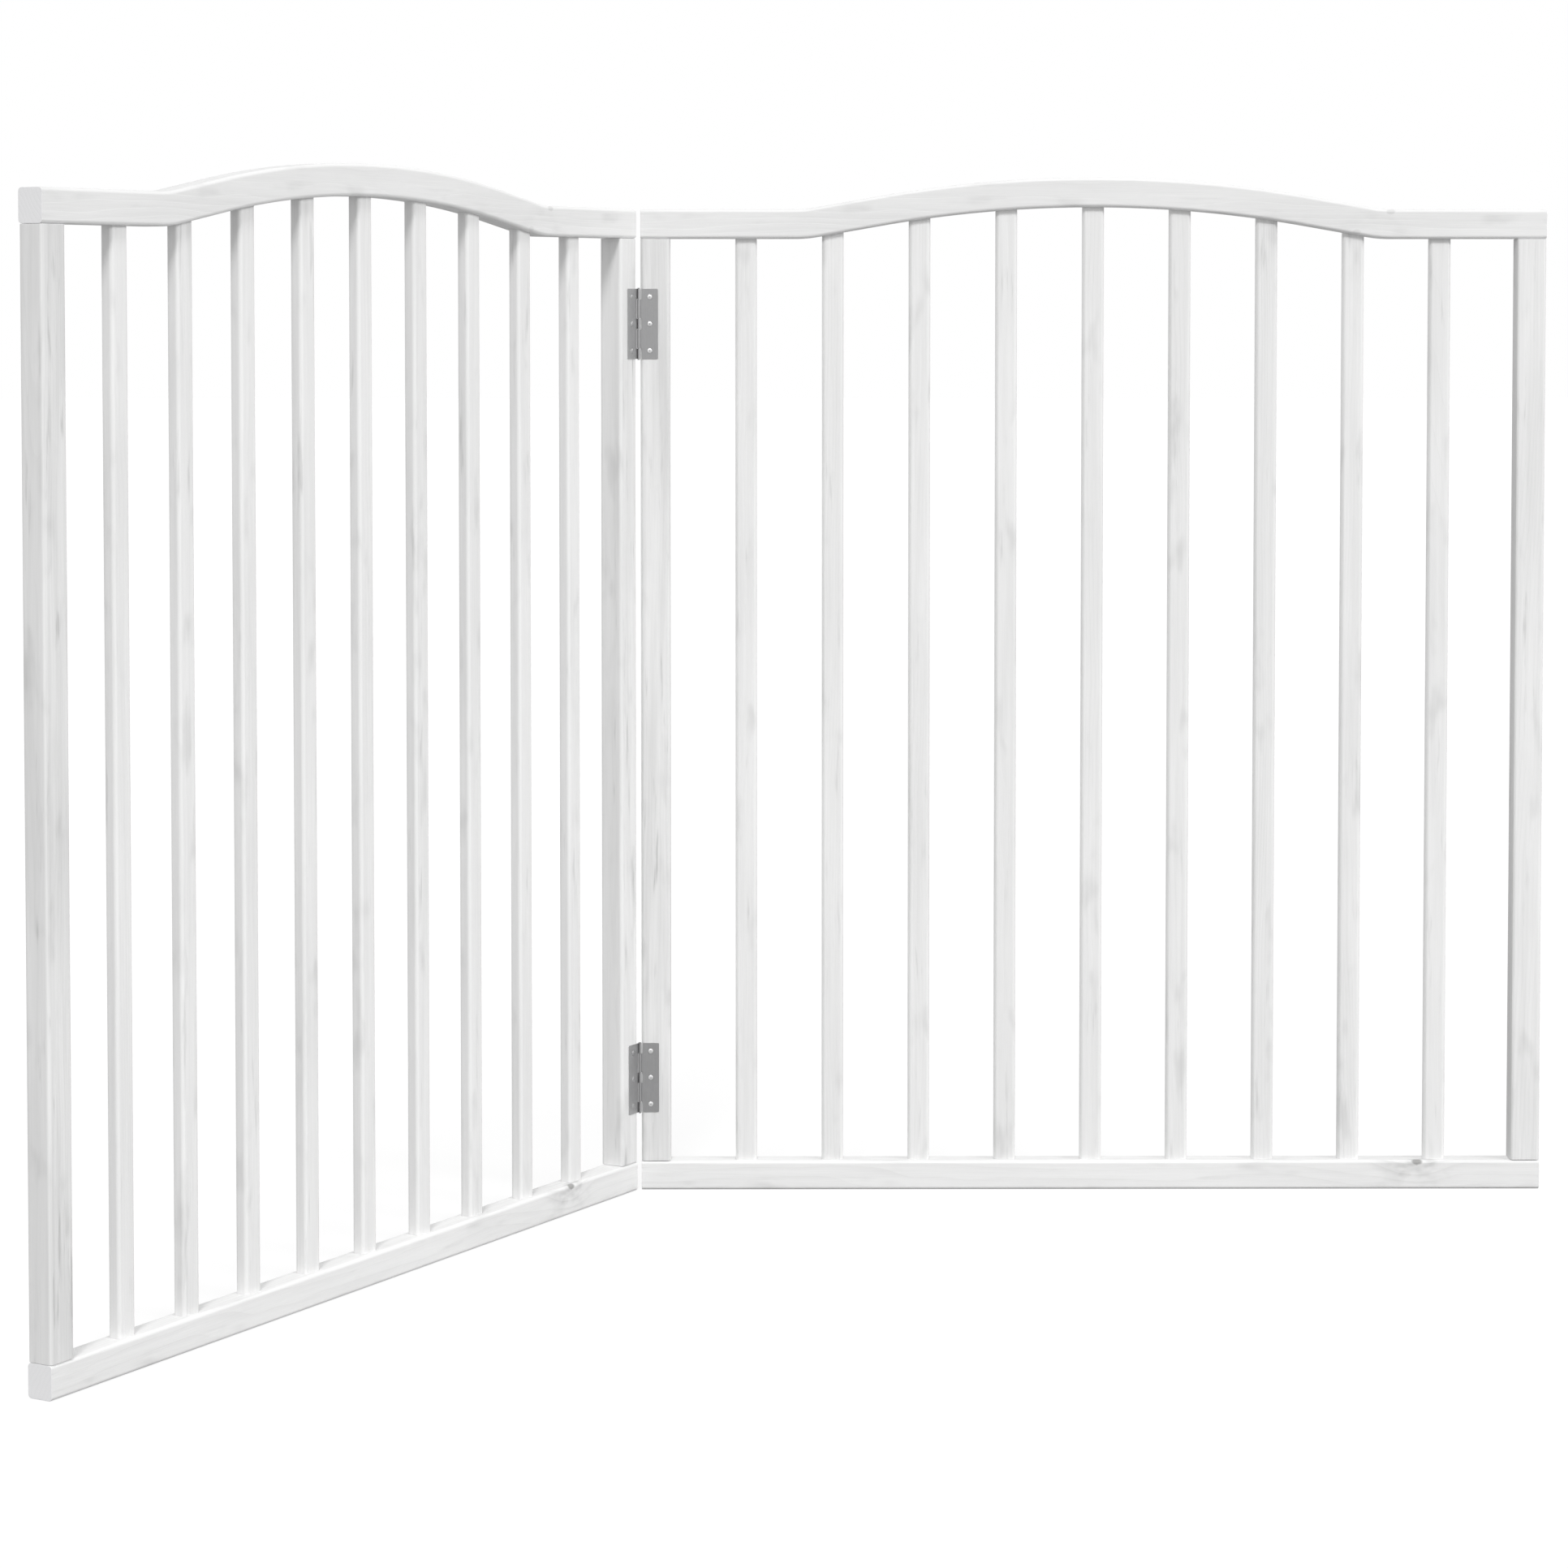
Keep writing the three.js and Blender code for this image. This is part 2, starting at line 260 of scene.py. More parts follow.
def sawn_place(start):
    """Where in its tree a point of a stick lies: all of it, then along, across and deep."""
    place = start.node("ShaderNodeAttribute", {"attribute_name": "grain"}, output=1)
    split = start.node("ShaderNodeSeparateXYZ", None, {0: place}).socket.node
    return place, *(Signal(start.tree, split.outputs[axis]) for axis in range(3))


def washed_wood(name, knots=(), streaks=0.6, rings=0.06, shade=1.0, uneven=1.0):
    """White washed softwood. Each knot is (place along, across and deep, half length, darkness)."""
    material, start = new_material(name)
    place, along, across, deep = sawn_place(start)

    drift = (place.grain(WANDER) - 0.5) * PITH_WANDER
    core = None
    halo = None
    for x, y, z, reach, dark in knots:
        off_x = (along - x) / reach
        off_y = (across - y) / (reach * KNOT_HEIGHT)
        off_z = (deep - z) / (reach * KNOT_HEIGHT)
        far = (off_x * off_x + off_y * off_y + off_z * off_z) ** 0.5
        ragged = far + (place.grain(KNOT_EDGE) - 0.5) * 0.5
        heart = ragged.band(1.15, 0.6) * dark
        near = far.band(KNOT_HALO, 0.8) * dark
        drift = drift + near * KNOT_PUSH
        core = heart if core is None else core + heart
        halo = near if halo is None else halo + near

    radius = (across * across + deep * deep) ** 0.5 + drift
    spacing = place.grain(RING_SPREAD, 1.0) * RING_GAP_RANGE + RING_GAP
    ring = (radius / spacing).fraction()
    late = ring.band(0.35, 0.9) * ring.band(1.0, 0.92)
    patchy = place.grain(PATCHES).band(0.35, 0.7)
    fibre = place.grain(FIBRES, 3.0, 0.6)
    broad = place.grain(BROAD_CLOUDS).band(0.3, 0.7)
    ribbon = place.grain(RIBBONS).band(0.3, 0.7)
    streak = place.grain(STREAKS, 3.0, 0.55).band(0.60, 0.80)
    smudge = place.grain(SMUDGES).band(0.56, 0.80)
    tone = late * (patchy * rings + rings * BARE_RINGS) + streak * streaks
    tone = tone + smudge * SMUDGE_DEPTH
    tone = tone + (broad * CLOUD_DEPTH + ribbon * RIBBON_DEPTH) * uneven
    tone = tone + (fibre - 0.5) * FIBRE_DEPTH
    if halo is not None:
        stained = place.grain(KNOT_STAIN).band(0.40, 0.65)
        tone = tone + halo * late * KNOT_RING_DEPTH + halo * stained * KNOT_STAIN_DEPTH
    colour = tone.clamped().mix(shaded(WASH, shade), shaded(FIBRE_TONE, shade))
    if core is not None:
        colour = core.clamped().mix(colour, shaded(KNOT_TONE, shade))

    brushed = place.grain(BRUSH_MARKS)
    rough = tone * BARE_ROUGHNESS + brushed * BRUSH_ROUGHNESS + WASH_ROUGHNESS
    height = brushed * 0.5 + fibre * 0.5 - late * RING_SUNK
    normal = height.bump(RELIEF_STRENGTH, GRAIN_RELIEF)
    dress(start, WASH_GLOSS, Base_Color=colour, Roughness=rough, Normal=normal)
    return material


def washed_end_grain(name):
    """The sawn end of a stick: faint growth rings and open pores under a heavier coat of wash."""
    material, start = new_material(name)
    place, _, across, deep = sawn_place(start)
    drift = (place.grain(WANDER) - 0.5) * PITH_WANDER
    radius = (across * across + deep * deep) ** 0.5 + drift
    ring = (radius / END_RING_GAP).fraction()
    late = ring.band(0.4, 0.95) * ring.band(1.0, 0.95)
    pores = place.grain(PORES, 3.0, 0.7)
    tone = late * END_RING_DEPTH + (pores - 0.5) * PORE_DEPTH + END_TONE
    colour = tone.clamped().mix((*END_WASH, 1.0), (*FIBRE_TONE, 1.0))
    rough = pores * PORE_ROUGHNESS + END_ROUGHNESS
    normal = (pores - late * END_RING_SUNK).bump(RELIEF_STRENGTH, GRAIN_RELIEF)
    dress(start, END_GLOSS, Base_Color=colour, Roughness=rough, Normal=normal)
    return material


def move(bm, step):
    bmesh.ops.translate(bm, vec=step, verts=bm.verts)


def turn(bm, degrees, axis):
    """Turns a mesh about an axis through the origin."""
    matrix = Matrix.Rotation(math.radians(degrees), 3, axis)
    bmesh.ops.rotate(bm, cent=(0, 0, 0), matrix=matrix, verts=bm.verts)


def round_over(bm, edges, radius, steps):
    bmesh.ops.bevel(
        bm, geom=edges, offset=radius, segments=steps, profile=0.5, affect="EDGES", material=-1
    )


def rounded_bar(width, depth, length, radius=EDGE_RADIUS, ease=END_EASE):
    """An upright bar standing on z = 0, its long edges rounded and its ends eased."""
    bm = bmesh.new()
    bmesh.ops.create_cube(bm, size=1.0)
    bmesh.ops.scale(bm, vec=(width, depth, length), verts=bm.verts)
    move(bm, (0, 0, length / 2))
    upright = [e for e in bm.edges if abs(e.verts[0].co.z - e.verts[1].co.z) > length / 2]
    round_over(bm, upright, radius, EDGE_STEPS)
    if ease:
        ends = [e for e in bm.edges if abs(e.verts[0].co.z - e.verts[1].co.z) < ease / 10]
        round_over(bm, ends, ease, EASE_STEPS)
    return bm


def object_from(bm, name):
    mesh = bpy.data.meshes.new(name)
    bm.to_mesh(mesh)
    bm.free()
    made = bpy.data.objects.new(name, mesh)
    bpy.context.scene.collection.objects.link(made)
    return made


def carve(piece, cutters):
    """Cuts closed meshes out of a piece, and clears the cutters away."""
    for cutter in cutters:
        cut = piece.modifiers.new("cut", "BOOLEAN")
        cut.operation = "DIFFERENCE"
        cut.solver = "EXACT"
        cut.object = cutter
    settle(piece)
    for cutter in cutters:
        bpy.data.meshes.remove(cutter.data)


def settle(piece):
    """Applies a piece's modifiers to its mesh."""
    graph = bpy.context.evaluated_depsgraph_get()
    made = bpy.data.meshes.new_from_object(piece.evaluated_get(graph))
    made.name = piece.name
    old = piece.data
    piece.modifiers.clear()
    piece.data = made
    bpy.data.meshes.remove(old)


def smooth(piece):
    """Smooth shading that keeps flat faces flat and creases sharp."""
    mesh = piece.data
    mesh.polygons.foreach_set("use_smooth", [True] * len(mesh.polygons))
    mesh.set_sharp_from_angle(angle=CREASE)
    even = piece.modifiers.new("even_normals", "WEIGHTED_NORMAL")
    even.keep_sharp = True


def board():
    """Where in its tree a stick was sawn: along the trunk, then out from the pith."""
    return Vector((chance.uniform(0, TRUNK), chance.uniform(*FROM_PITH), chance.uniform(*ASIDE)))


def fit_stick(piece, side, node, wood, upright, sawn_at):
    """Gives a stick its grain, sets it in its panel and hands it to the panel's body."""
    mesh = piece.data
    grain = mesh.attributes.new("grain", "FLOAT_VECTOR", "POINT")
    for vertex, value in zip(mesh.vertices, grain.data):
        at = vertex.co
        value.vector = Vector((at.z, at.x, at.y) if upright else at) + sawn_at
    lengthwise = Vector((0, 0, 1) if upright else (1, 0, 0))
    mesh.materials.clear()
    mesh.materials.append(wood)
    mesh.materials.append(end_wood)
    for face in mesh.polygons:
        face.material_index = int(abs(face.normal.dot(lengthwise)) > SQUARE_ON)
    mesh.transform(PANELS[side])
    smooth(piece)
    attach(piece, side + "_panel")
    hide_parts(node)


def slat_box(number):
    """A right slat's lowest and highest corners, in its panel's own frame."""
    low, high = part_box(f"right_slat_{number}")
    return low - right_middle, high - right_middle


def mortises(end):
    """Cutters for the slats at one end of them, "bottom" or "top"."""
    cutters = []
    for number in SLATS:
        low, high = slat_box(number)
        width = high.x - low.x + 2 * HAIRLINE
        depth = high.y - low.y + 2 * HAIRLINE
        length = 4 * RAIL_HEIGHT
        bm = rounded_bar(width, depth, length, EDGE_RADIUS + HAIRLINE, ease=0)
        foot = low.z - HAIRLINE if end == "bottom" else high.z + HAIRLINE - length
        move(bm, ((low.x + high.x) / 2, 0, foot))
        cutters.append(object_from(bm, "mortise"))
    return cutters


def dowel_bores(end):
    """Cutters for the two corner dowels at the "bottom" or "top" of a panel."""
    cutters = []
    for corner in ("hinge", "end"):
        low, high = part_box(f"right_{end}_{corner}_dowel")
        low, high = low - right_middle, high - right_middle
        radius = (high.x - low.x) / 2 + HAIRLINE
        bm = bmesh.new()
        bmesh.ops.create_cone(
            bm, cap_ends=True, segments=BORE_STEPS, radius1=radius, radius2=radius,
            depth=high.z - low.z,
        )
        move(bm, (low + high) / 2)
        cutters.append(object_from(bm, "bore"))
    return cutters


end_wood = washed_end_grain("washed_end_grain")
RAIL_BOARD = Vector((3.1, 0.048, 0.022))
knot_at = RAIL_BOARD + Vector((0.291, -THICKNESS / 2 + 0.001, RAIL_HEIGHT / 2 - 0.0015))
stain_at = knot_at + Vector((-0.011, 0, -0.011))
rail_knots = [(*knot_at, 5.2 * MM, 1.0), (*stain_at, 6.5 * MM, 0.14)]
bottom_wood = washed_wood("washed_wood_bottom_rail", rail_knots, streaks=0.45, rings=0.09)

for side in PANELS:
    bm = rounded_bar(RAIL_HEIGHT, THICKNESS, PANEL_WIDTH)
    turn(bm, 90, "Y")
    move(bm, (-PANEL_WIDTH / 2, 0, RAIL_HEIGHT / 2))
    rail = object_from(bm, side + "_bottom_rail_wood")
    carve(rail, mortises("bottom") + dowel_bores("bottom"))
    sawn_at = RAIL_BOARD - Vector((0, 0, RAIL_HEIGHT / 2))
    fit_stick(rail, side, side + "_bottom_rail", bottom_wood, False, sawn_at)

# ---------------------------------------------------------------- corner dowels
# Four plain birch dowels in each panel, glued half in a rail and half in a post. They are out
# of sight once the panel is clamped up, so the frame's own dowels stay as they are.

BIRCH = (0.60, 0.46, 0.30, 1.0)
BIRCH_DARK = (0.47, 0.34, 0.20, 1.0)
BIRCH_FIBRES = (900, 900, 40)  # repeats per metre across, across and along the dowel
BIRCH_RELIEF = 0.1 * MM
BIRCH_RELIEF_STRENGTH = 0.4
BIRCH_ROUGHNESS = 0.6
BIRCH_FIBRE_ROUGHNESS = 0.2

dowel_wood, start = new_material("raw_birch")
place = start.node("ShaderNodeTexCoord", output=3)
fibre = place.scaled(*BIRCH_FIBRES).noise(3.0, 0.6)
rough = fibre * BIRCH_FIBRE_ROUGHNESS + BIRCH_ROUGHNESS
normal = fibre.bump(BIRCH_RELIEF_STRENGTH, BIRCH_RELIEF)
dress(start, {}, Base_Color=fibre.mix(BIRCH, BIRCH_DARK), Roughness=rough, Normal=normal)

for side in PANELS:
    for end in ("bottom", "top"):
        for corner in ("hinge", "end"):
            dowel = frame["nodes"][f"{side}_{end}_{corner}_dowel"]
            dowel.data.materials.clear()
            dowel.data.materials.append(dowel_wood)

# ---------------------------------------------------------------- posts
# Two uprights in each panel, as thick as the rails. Their square ends butt against the rails
# on the dowels, and the one next to the fold carries the hinge leaves on its front face.

post_low, post_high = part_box("right_end_post")
POST_WIDTH = post_high.x - post_low.x
POST_PLACE = (post_low.x + post_high.x) / 2 - right_middle.x

top_low, top_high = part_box("right_top_rail")
POST_FOOT = RAIL_HEIGHT + HAIRLINE
POST_LENGTH = top_low.z - HAIRLINE - POST_FOOT

post_wood = washed_wood("washed_wood_post", streaks=0.75, uneven=1.4)
# A streakier, more uneven wash, dimmed as well. It is laid only on the fronts of two posts, so the
# dimming is painted shade.
drab_shaded_wood = washed_wood("washed_wood_drab_shaded_post", streaks=1.15, shade=0.96, uneven=2.3)
# A much darker copy of the wash, laid on the right end post's inner side: painted shade.
painted_shade_wood = washed_wood("washed_wood_painted_shade_side", streaks=0.60, shade=0.74)
FRONT = Vector((0, -1, 0))
NEARLY_FACING = 0.75
DRAB_AND_SHADED_SIDES = {  # one side of each of these posts: two fronts take a streakier wash that is also darkened as painted shade, and the right end post's inner side is painted shade
    "right_hinge_post": (drab_shaded_wood, FRONT),
    "left_end_post": (drab_shaded_wood, PANELS["left"].to_3x3() @ FRONT),
    "right_end_post": (painted_shade_wood, Vector((-1, 0, 0))),
}

SCREWS = (1, 2, 3)
screw_low, screw_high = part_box("upper_hinge_right_screw_1")
SCREW_LENGTH = screw_high.y - screw_low.y
HEAD_RADIUS = (screw_high.x - screw_low.x) / 2
HEAD_HEIGHT = 0.5 * HEAD_RADIUS
HEAD_RIM = 0.1 * MM  # the short straight edge round a screw's head
SHANK_RADIUS = 0.54 * HEAD_RADIUS
CUT_CLEAR = 1.0 * MM  # how far a cutter runs on outside what it cuts
TURNED_STEPS = 32
WELD = 0.001 * MM


def turned(profile):
    """A solid of revolution about the Z axis, from its (radius, height) corners."""
    bm = bmesh.new()
    corners = []
    for radius, height in profile:
        corners += bmesh.ops.create_vert(bm, co=(radius, 0, height))["vert"]
    for first, second in zip(corners, corners[1:]):
        bm.edges.new((first, second))
    bmesh.ops.spin(
        bm, geom=bm.verts[:] + bm.edges[:], cent=(0, 0, 0), axis=(0, 0, 1), angle=2 * math.pi,
        steps=TURNED_STEPS, use_merge=True, use_duplicate=False,
    )
    bmesh.ops.remove_doubles(bm, verts=bm.verts, dist=WELD)
    bmesh.ops.recalc_face_normals(bm, faces=bm.faces)
    return bm


def screw_blank(room):
    """Room for a countersunk screw along +Y, its head's face at y = 0, open to the outside."""
    head = HEAD_RADIUS + room
    shank = SHANK_RADIUS + room
    tip = SCREW_LENGTH + room
    profile = [(0, tip), (shank, tip - 2 * SHANK_RADIUS), (shank, HEAD_HEIGHT), (head, HEAD_RIM)]
    bm = turned([*profile, (head, -CUT_CLEAR), (0, -CUT_CLEAR)])
    turn(bm, -90, "X")
    return bm


def screw_bores(side):
    """Cutters for the hinge screws in one panel's hinge post."""
    cutters = []
    for level in ("lower", "upper"):
        for number in SCREWS:
            low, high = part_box(f"{level}_hinge_right_screw_{number}")
            middle = (low + high) / 2 - right_middle
            bm = screw_blank(HAIRLINE)
            place = (TOWARDS_HINGE[side] * abs(middle.x), low.y - right_middle.y, middle.z)
            move(bm, place)
            cutters.append(object_from(bm, "pilot_hole"))
    return cutters


for side in PANELS:
    for role, direction in (("hinge", TOWARDS_HINGE[side]), ("end", -TOWARDS_HINGE[side])):
        bm = rounded_bar(POST_WIDTH, THICKNESS, POST_LENGTH)
        move(bm, (direction * POST_PLACE, 0, POST_FOOT))
        node = f"{side}_{role}_post"
        post = object_from(bm, node + "_wood")
        bores = dowel_bores("bottom") + dowel_bores("top")
        if role == "hinge":
            bores += screw_bores(side)
        carve(post, bores)
        fit_stick(post, side, node, post_wood, True, board())
        # Gives one side of a post its streakier, darkened front or its painted shade.
        if node in DRAB_AND_SHADED_SIDES:
            odd_wood, facing = DRAB_AND_SHADED_SIDES[node]
            odd_slot = len(post.data.materials)
            post.data.materials.append(odd_wood)
            for face in post.data.polygons:
                if face.normal.dot(facing) > NEARLY_FACING:
                    face.material_index = odd_slot

# ---------------------------------------------------------------- slats
# Nine thinner uprights in each panel, set back behind the rails' faces. Their rounded section
# is let into the mortises, so that they meet the rails with no shoulder.

slat_wood = washed_wood("washed_wood_slat", streaks=0.60)

for side in PANELS:
    for number in SLATS:
        low, high = slat_box(number)
        bm = rounded_bar(high.x - low.x, high.y - low.y, high.z - low.z)
        move(bm, ((low.x + high.x) / 2, 0, low.z))
        slat = object_from(bm, f"{side}_slat_{number}_wood")
        fit_stick(slat, side, f"{side}_slat_{number}", slat_wood, True, board())

# ---------------------------------------------------------------- top rails
# The arched rail that caps each panel, sawn from a wider board: flat ends, a small hollow arc,
# a straight slope and a long crown, at the same height throughout, and rounded like the rest.

CROWN_RADIUS = 1.100
HOLLOW_RADIUS = 0.100
SLOPE = math.radians(10)
CROWN_STEPS = 48
HOLLOW_STEPS = 8
SWEEP_WELD = 0.01 * MM
arch_rise = (top_high.z - top_low.z) - RAIL_HEIGHT
end_height = top_low.z + RAIL_HEIGHT
slope_drop = arch_rise - (CROWN_RADIUS + HOLLOW_RADIUS) * (1 - math.cos(SLOPE))
slope_run = slope_drop / math.tan(SLOPE)
hollow_x = (CROWN_RADIUS + HOLLOW_RADIUS) * math.sin(SLOPE) + slope_run


def push(bm, face, step):
    """Extrudes a face by a vector and returns the face at the far end."""
    made = bmesh.ops.extrude_face_region(bm, geom=[face])["geom"]
    bmesh.ops.translate(bm, vec=step, verts=[v for v in made if isinstance(v, bmesh.types.BMVert)])
    return next(f for f in made if isinstance(f, bmesh.types.BMFace))


def swing(bm, face, centre, angle, steps, axis=(0, 1, 0)):
    """Sweeps a face round a centre and returns the face at the far end."""
    made = bmesh.ops.spin(
        bm, geom=[face, *face.edges, *face.verts], cent=centre, axis=axis,
        angle=angle, steps=steps, use_duplicate=False,
    )["geom_last"]
    return next(f for f in made if isinstance(f, bmesh.types.BMFace))


def arched_bar():
    """The rail swept from its left end to its right end."""
    bm = bmesh.new()
    bmesh.ops.create_grid(bm, x_segments=1, y_segments=1, size=0.5)
    bmesh.ops.scale(bm, vec=(RAIL_HEIGHT, THICKNESS, 1), verts=bm.verts)
    bmesh.ops.bevel(
        bm, geom=bm.verts[:], offset=EDGE_RADIUS, segments=EDGE_STEPS, profile=0.5,
        affect="VERTICES", material=-1,
    )
    turn(bm, 90, "Y")
    move(bm, (-PANEL_WIDTH / 2, 0, end_height - RAIL_HEIGHT / 2))
    bm.faces.ensure_lookup_table()
    hollow_z = end_height + HOLLOW_RADIUS
    crown_z = end_height + arch_rise - CROWN_RADIUS
    flat = Vector((PANEL_WIDTH / 2 - hollow_x, 0, 0))
    face = push(bm, bm.faces[0], flat)
    face = swing(bm, face, (-hollow_x, 0, hollow_z), -SLOPE, HOLLOW_STEPS)
    face = push(bm, face, Vector((slope_run, 0, slope_drop)))
    face = swing(bm, face, (0, 0, crown_z), 2 * SLOPE, CROWN_STEPS)
    face = push(bm, face, Vector((slope_run, 0, -slope_drop)))
    face = swing(bm, face, (hollow_x, 0, hollow_z), -SLOPE, HOLLOW_STEPS)
    push(bm, face, flat)
    bmesh.ops.remove_doubles(bm, verts=bm.verts, dist=SWEEP_WELD)
    bmesh.ops.recalc_face_normals(bm, faces=bm.faces)
    sawn = [f for f in bm.faces if abs(f.normal.x) > SQUARE_ON]
    round_over(bm, list({e for f in sawn for e in f.edges}), END_EASE, EASE_STEPS)
    return bm


TOP_BOARD = Vector((7.7, 0.055, -0.035))
top_knots = [
    (*(TOP_BOARD + Vector((0.262, -THICKNESS / 2, 0.011))), 4.5 * MM, 0.25),
    (*(TOP_BOARD + Vector((0.232, -THICKNESS / 2, -0.007))), 4.0 * MM, 0.18),
]
top_wood = washed_wood("washed_wood_top_rail", top_knots, 0.30, rings=0.035, shade=0.985)

for side in PANELS:
    rail = object_from(arched_bar(), side + "_top_rail_wood")
    carve(rail, mortises("top") + dowel_bores("top"))
    sawn_at = TOP_BOARD - Vector((0, 0, end_height - RAIL_HEIGHT / 2))
    fit_stick(rail, side, side + "_top_rail", top_wood, False, sawn_at)

# ---------------------------------------------------------------- hinge leaves
# Two small steel butt hinges, zinc plated. Each leaf is a blanked plate with rounded corners,
# its knuckles curled from the same strip round the pin, and it lies on the face of its post.

LEAF_THICKNESS = 0.8 * MM
LEAF_CORNER = 1.0 * MM
CORNER_STEPS = 6
LEAF_EASE = 0.12 * MM
ARRIS = math.radians(50)  # an edge this sharp is eased
KNUCKLE_GAP = 0.25 * MM
SHORT_KNUCKLE = 9.2 * MM
NOTCH = {"right": 2.6 * MM, "left": 1.9 * MM}  # from the pin to the plate, beside a knuckle
CURL_START = math.radians(83.8)
CURL = math.radians(261)
CURL_STEPS = 30


def middle_height(node):
    low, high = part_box(node)
    return (low.z + high.z) / 2


leaf_low, leaf_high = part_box("upper_hinge_right_leaf")
LEAF_LENGTH = leaf_high.z - leaf_low.z
LEAF_WIDTH = leaf_high.x - HINGE_LINE.x
LEAF_BACK = leaf_high.y - HINGE_LINE.y
LEAF_FRONT = LEAF_BACK - LEAF_THICKNESS
BARREL_RADIUS = HINGE_LINE.x - leaf_low.x
LONG_KNUCKLE = (LEAF_LENGTH - 3 * SHORT_KNUCKLE - 4 * KNUCKLE_GAP) / 2
LEVELS = {level: middle_height(level + "_hinge_right_leaf") for level in ("lower", "upper")}
ON_PIN = {"right": Matrix.Translation(HINGE_LINE), "left": left_turn}

SCREW_ROW = (screw_low.x + screw_high.x) / 2 - HINGE_LINE.x
SCREW_HEIGHTS = {
    number: middle_height(f"upper_hinge_right_screw_{number}") - LEVELS["upper"]
    for number in SCREWS
}

KNUCKLES = {"left": [], "right": []}  # the middle height and the length of each
foot = -LEAF_LENGTH / 2
for owner in ("left", "right", "left", "right", "left"):
    length = SHORT_KNUCKLE if owner == "left" else LONG_KNUCKLE
    KNUCKLES[owner].append((foot + length / 2, length))
    foot += length + KNUCKLE_GAP

# The plating's patterns, as repeats per metre round, out from and along the pin line.
ROLLED_LINES = (900, 900, 60)
PLATING_CLOUDS = (160, 160, 110)
SCUFFS = (420, 420, 1500)
CLOUD_SHADE = 0.82
ROLLED_DEPTH = 0.8
PLATING_CLOUD_DEPTH = 1.1
PLATING_TONE = 0.4
ROLLED_ROUGHNESS = 0.12
CLOUD_ROUGHNESS = 0.18
SCUFF_POLISH = 0.08
PLATING_RELIEF = 0.03 * MM
PLATING_RELIEF_STRENGTH = 0.25
SCUFF_HEIGHT = 0.6


def zinc_plate(name, colour, roughness):
    """Bright zinc on steel: rolled lines along the strip, a cloudy passivation, a few scuffs."""
    material, start = new_material(name)
    place = start.node("ShaderNodeTexCoord", output=3)
    rolled = place.scaled(*ROLLED_LINES).noise(3.0, 0.6)
    cloud = place.scaled(*PLATING_CLOUDS).noise(3.0, 0.6)
    scuff = place.scaled(*SCUFFS).noise().band(0.66, 0.8)
    tone = (rolled - 0.5) * ROLLED_DEPTH + (cloud - 0.5) * PLATING_CLOUD_DEPTH + PLATING_TONE
    shade = tone.clamped().mix(shaded(colour, 1.0), shaded(colour, CLOUD_SHADE))
    uneven = cloud * CLOUD_ROUGHNESS + rolled * ROLLED_ROUGHNESS - scuff * SCUFF_POLISH
    rough = uneven + (roughness - (CLOUD_ROUGHNESS + ROLLED_ROUGHNESS) / 2)
    normal = (rolled + scuff * SCUFF_HEIGHT).bump(PLATING_RELIEF_STRENGTH, PLATING_RELIEF)
    dress(start, {"Metallic": 1.0}, Base_Color=shade, Roughness=rough, Normal=normal)
    return material


def runs_across(edge):
    """Whether an edge goes straight through the plate's thickness."""
    run = edge.verts[1].co - edge.verts[0].co
    return abs(run.y) > SQUARE_ON * run.length


def leaf_strip(side):
    """One leaf as it would lie on the right post: a plate whose own knuckles are curled from it."""
    notch = NOTCH[side]
    bm = bmesh.new()
    bmesh.ops.create_cube(bm, size=1.0)
    bmesh.ops.scale(bm, vec=(LEAF_WIDTH - notch, LEAF_THICKNESS, LEAF_LENGTH), verts=bm.verts)
    middle = Vector(((LEAF_WIDTH + notch) / 2, (LEAF_FRONT + LEAF_BACK) / 2, 0))
    move(bm, middle)
    outer = [e for e in bm.edges if all(v.co.x > middle.x for v in e.verts) and runs_across(e)]
    round_over(bm, outer, LEAF_CORNER, CORNER_STEPS)
    for centre, length in KNUCKLES[side]:
        for height in (centre - length / 2, centre + length / 2):
            bmesh.ops.bisect_plane(
                bm, geom=bm.verts[:] + bm.edges[:] + bm.faces[:], dist=SWEEP_WELD,
                plane_co=(0, 0, height), plane_no=(0, 0, 1),
            )
    for centre, length in KNUCKLES[side]:
        root = next(
            f for f in bm.faces
            if f.normal.x < -SQUARE_ON and abs(f.calc_center_median().z - centre) < length / 4
        )
        rise = Vector((math.cos(CURL_START), math.sin(CURL_START), 0))
        start = rise * (BARREL_RADIUS - LEAF_THICKNESS / 2) + Vector((0, 0, centre))
        tip = push(bm, root, start - root.calc_center_median())
        lean = Matrix.Rotation(CURL_START - math.pi / 2, 3, "Z")
        bmesh.ops.rotate(bm, cent=start, matrix=lean, verts=tip.verts)
        swing(bm, tip, (0, 0, 0), CURL, CURL_STEPS, axis=(0, 0, 1))
    bmesh.ops.remove_doubles(bm, verts=bm.verts, dist=WELD)
    bmesh.ops.recalc_face_normals(bm, faces=bm.faces)
    arrises = [e for e in bm.edges if e.is_manifold and e.calc_face_angle() > ARRIS]
    round_over(bm, arrises, LEAF_EASE, EASE_STEPS)
    return bm


def fit_steel(piece, side, level, node, metal):
    """Sets a hinge piece on the pin line and hands it to its panel's body."""
    piece.data.materials.clear()
    piece.data.materials.append(metal)
    piece.data.transform(ON_PIN[side] @ Matrix.Translation((0, 0, LEVELS[level])))
    smooth(piece)
    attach(piece, side + "_panel")
    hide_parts(node)


# The left leaves take a lighter copy of the right leaves' plating: a painted highlight.
leaf_metal = {
    "right": zinc_plate("zinc_plated_leaf", (0.54, 0.54, 0.545), 0.42),
    "left": zinc_plate("zinc_plated_leaf_painted_highlight", (0.59, 0.59, 0.595), 0.42),
}

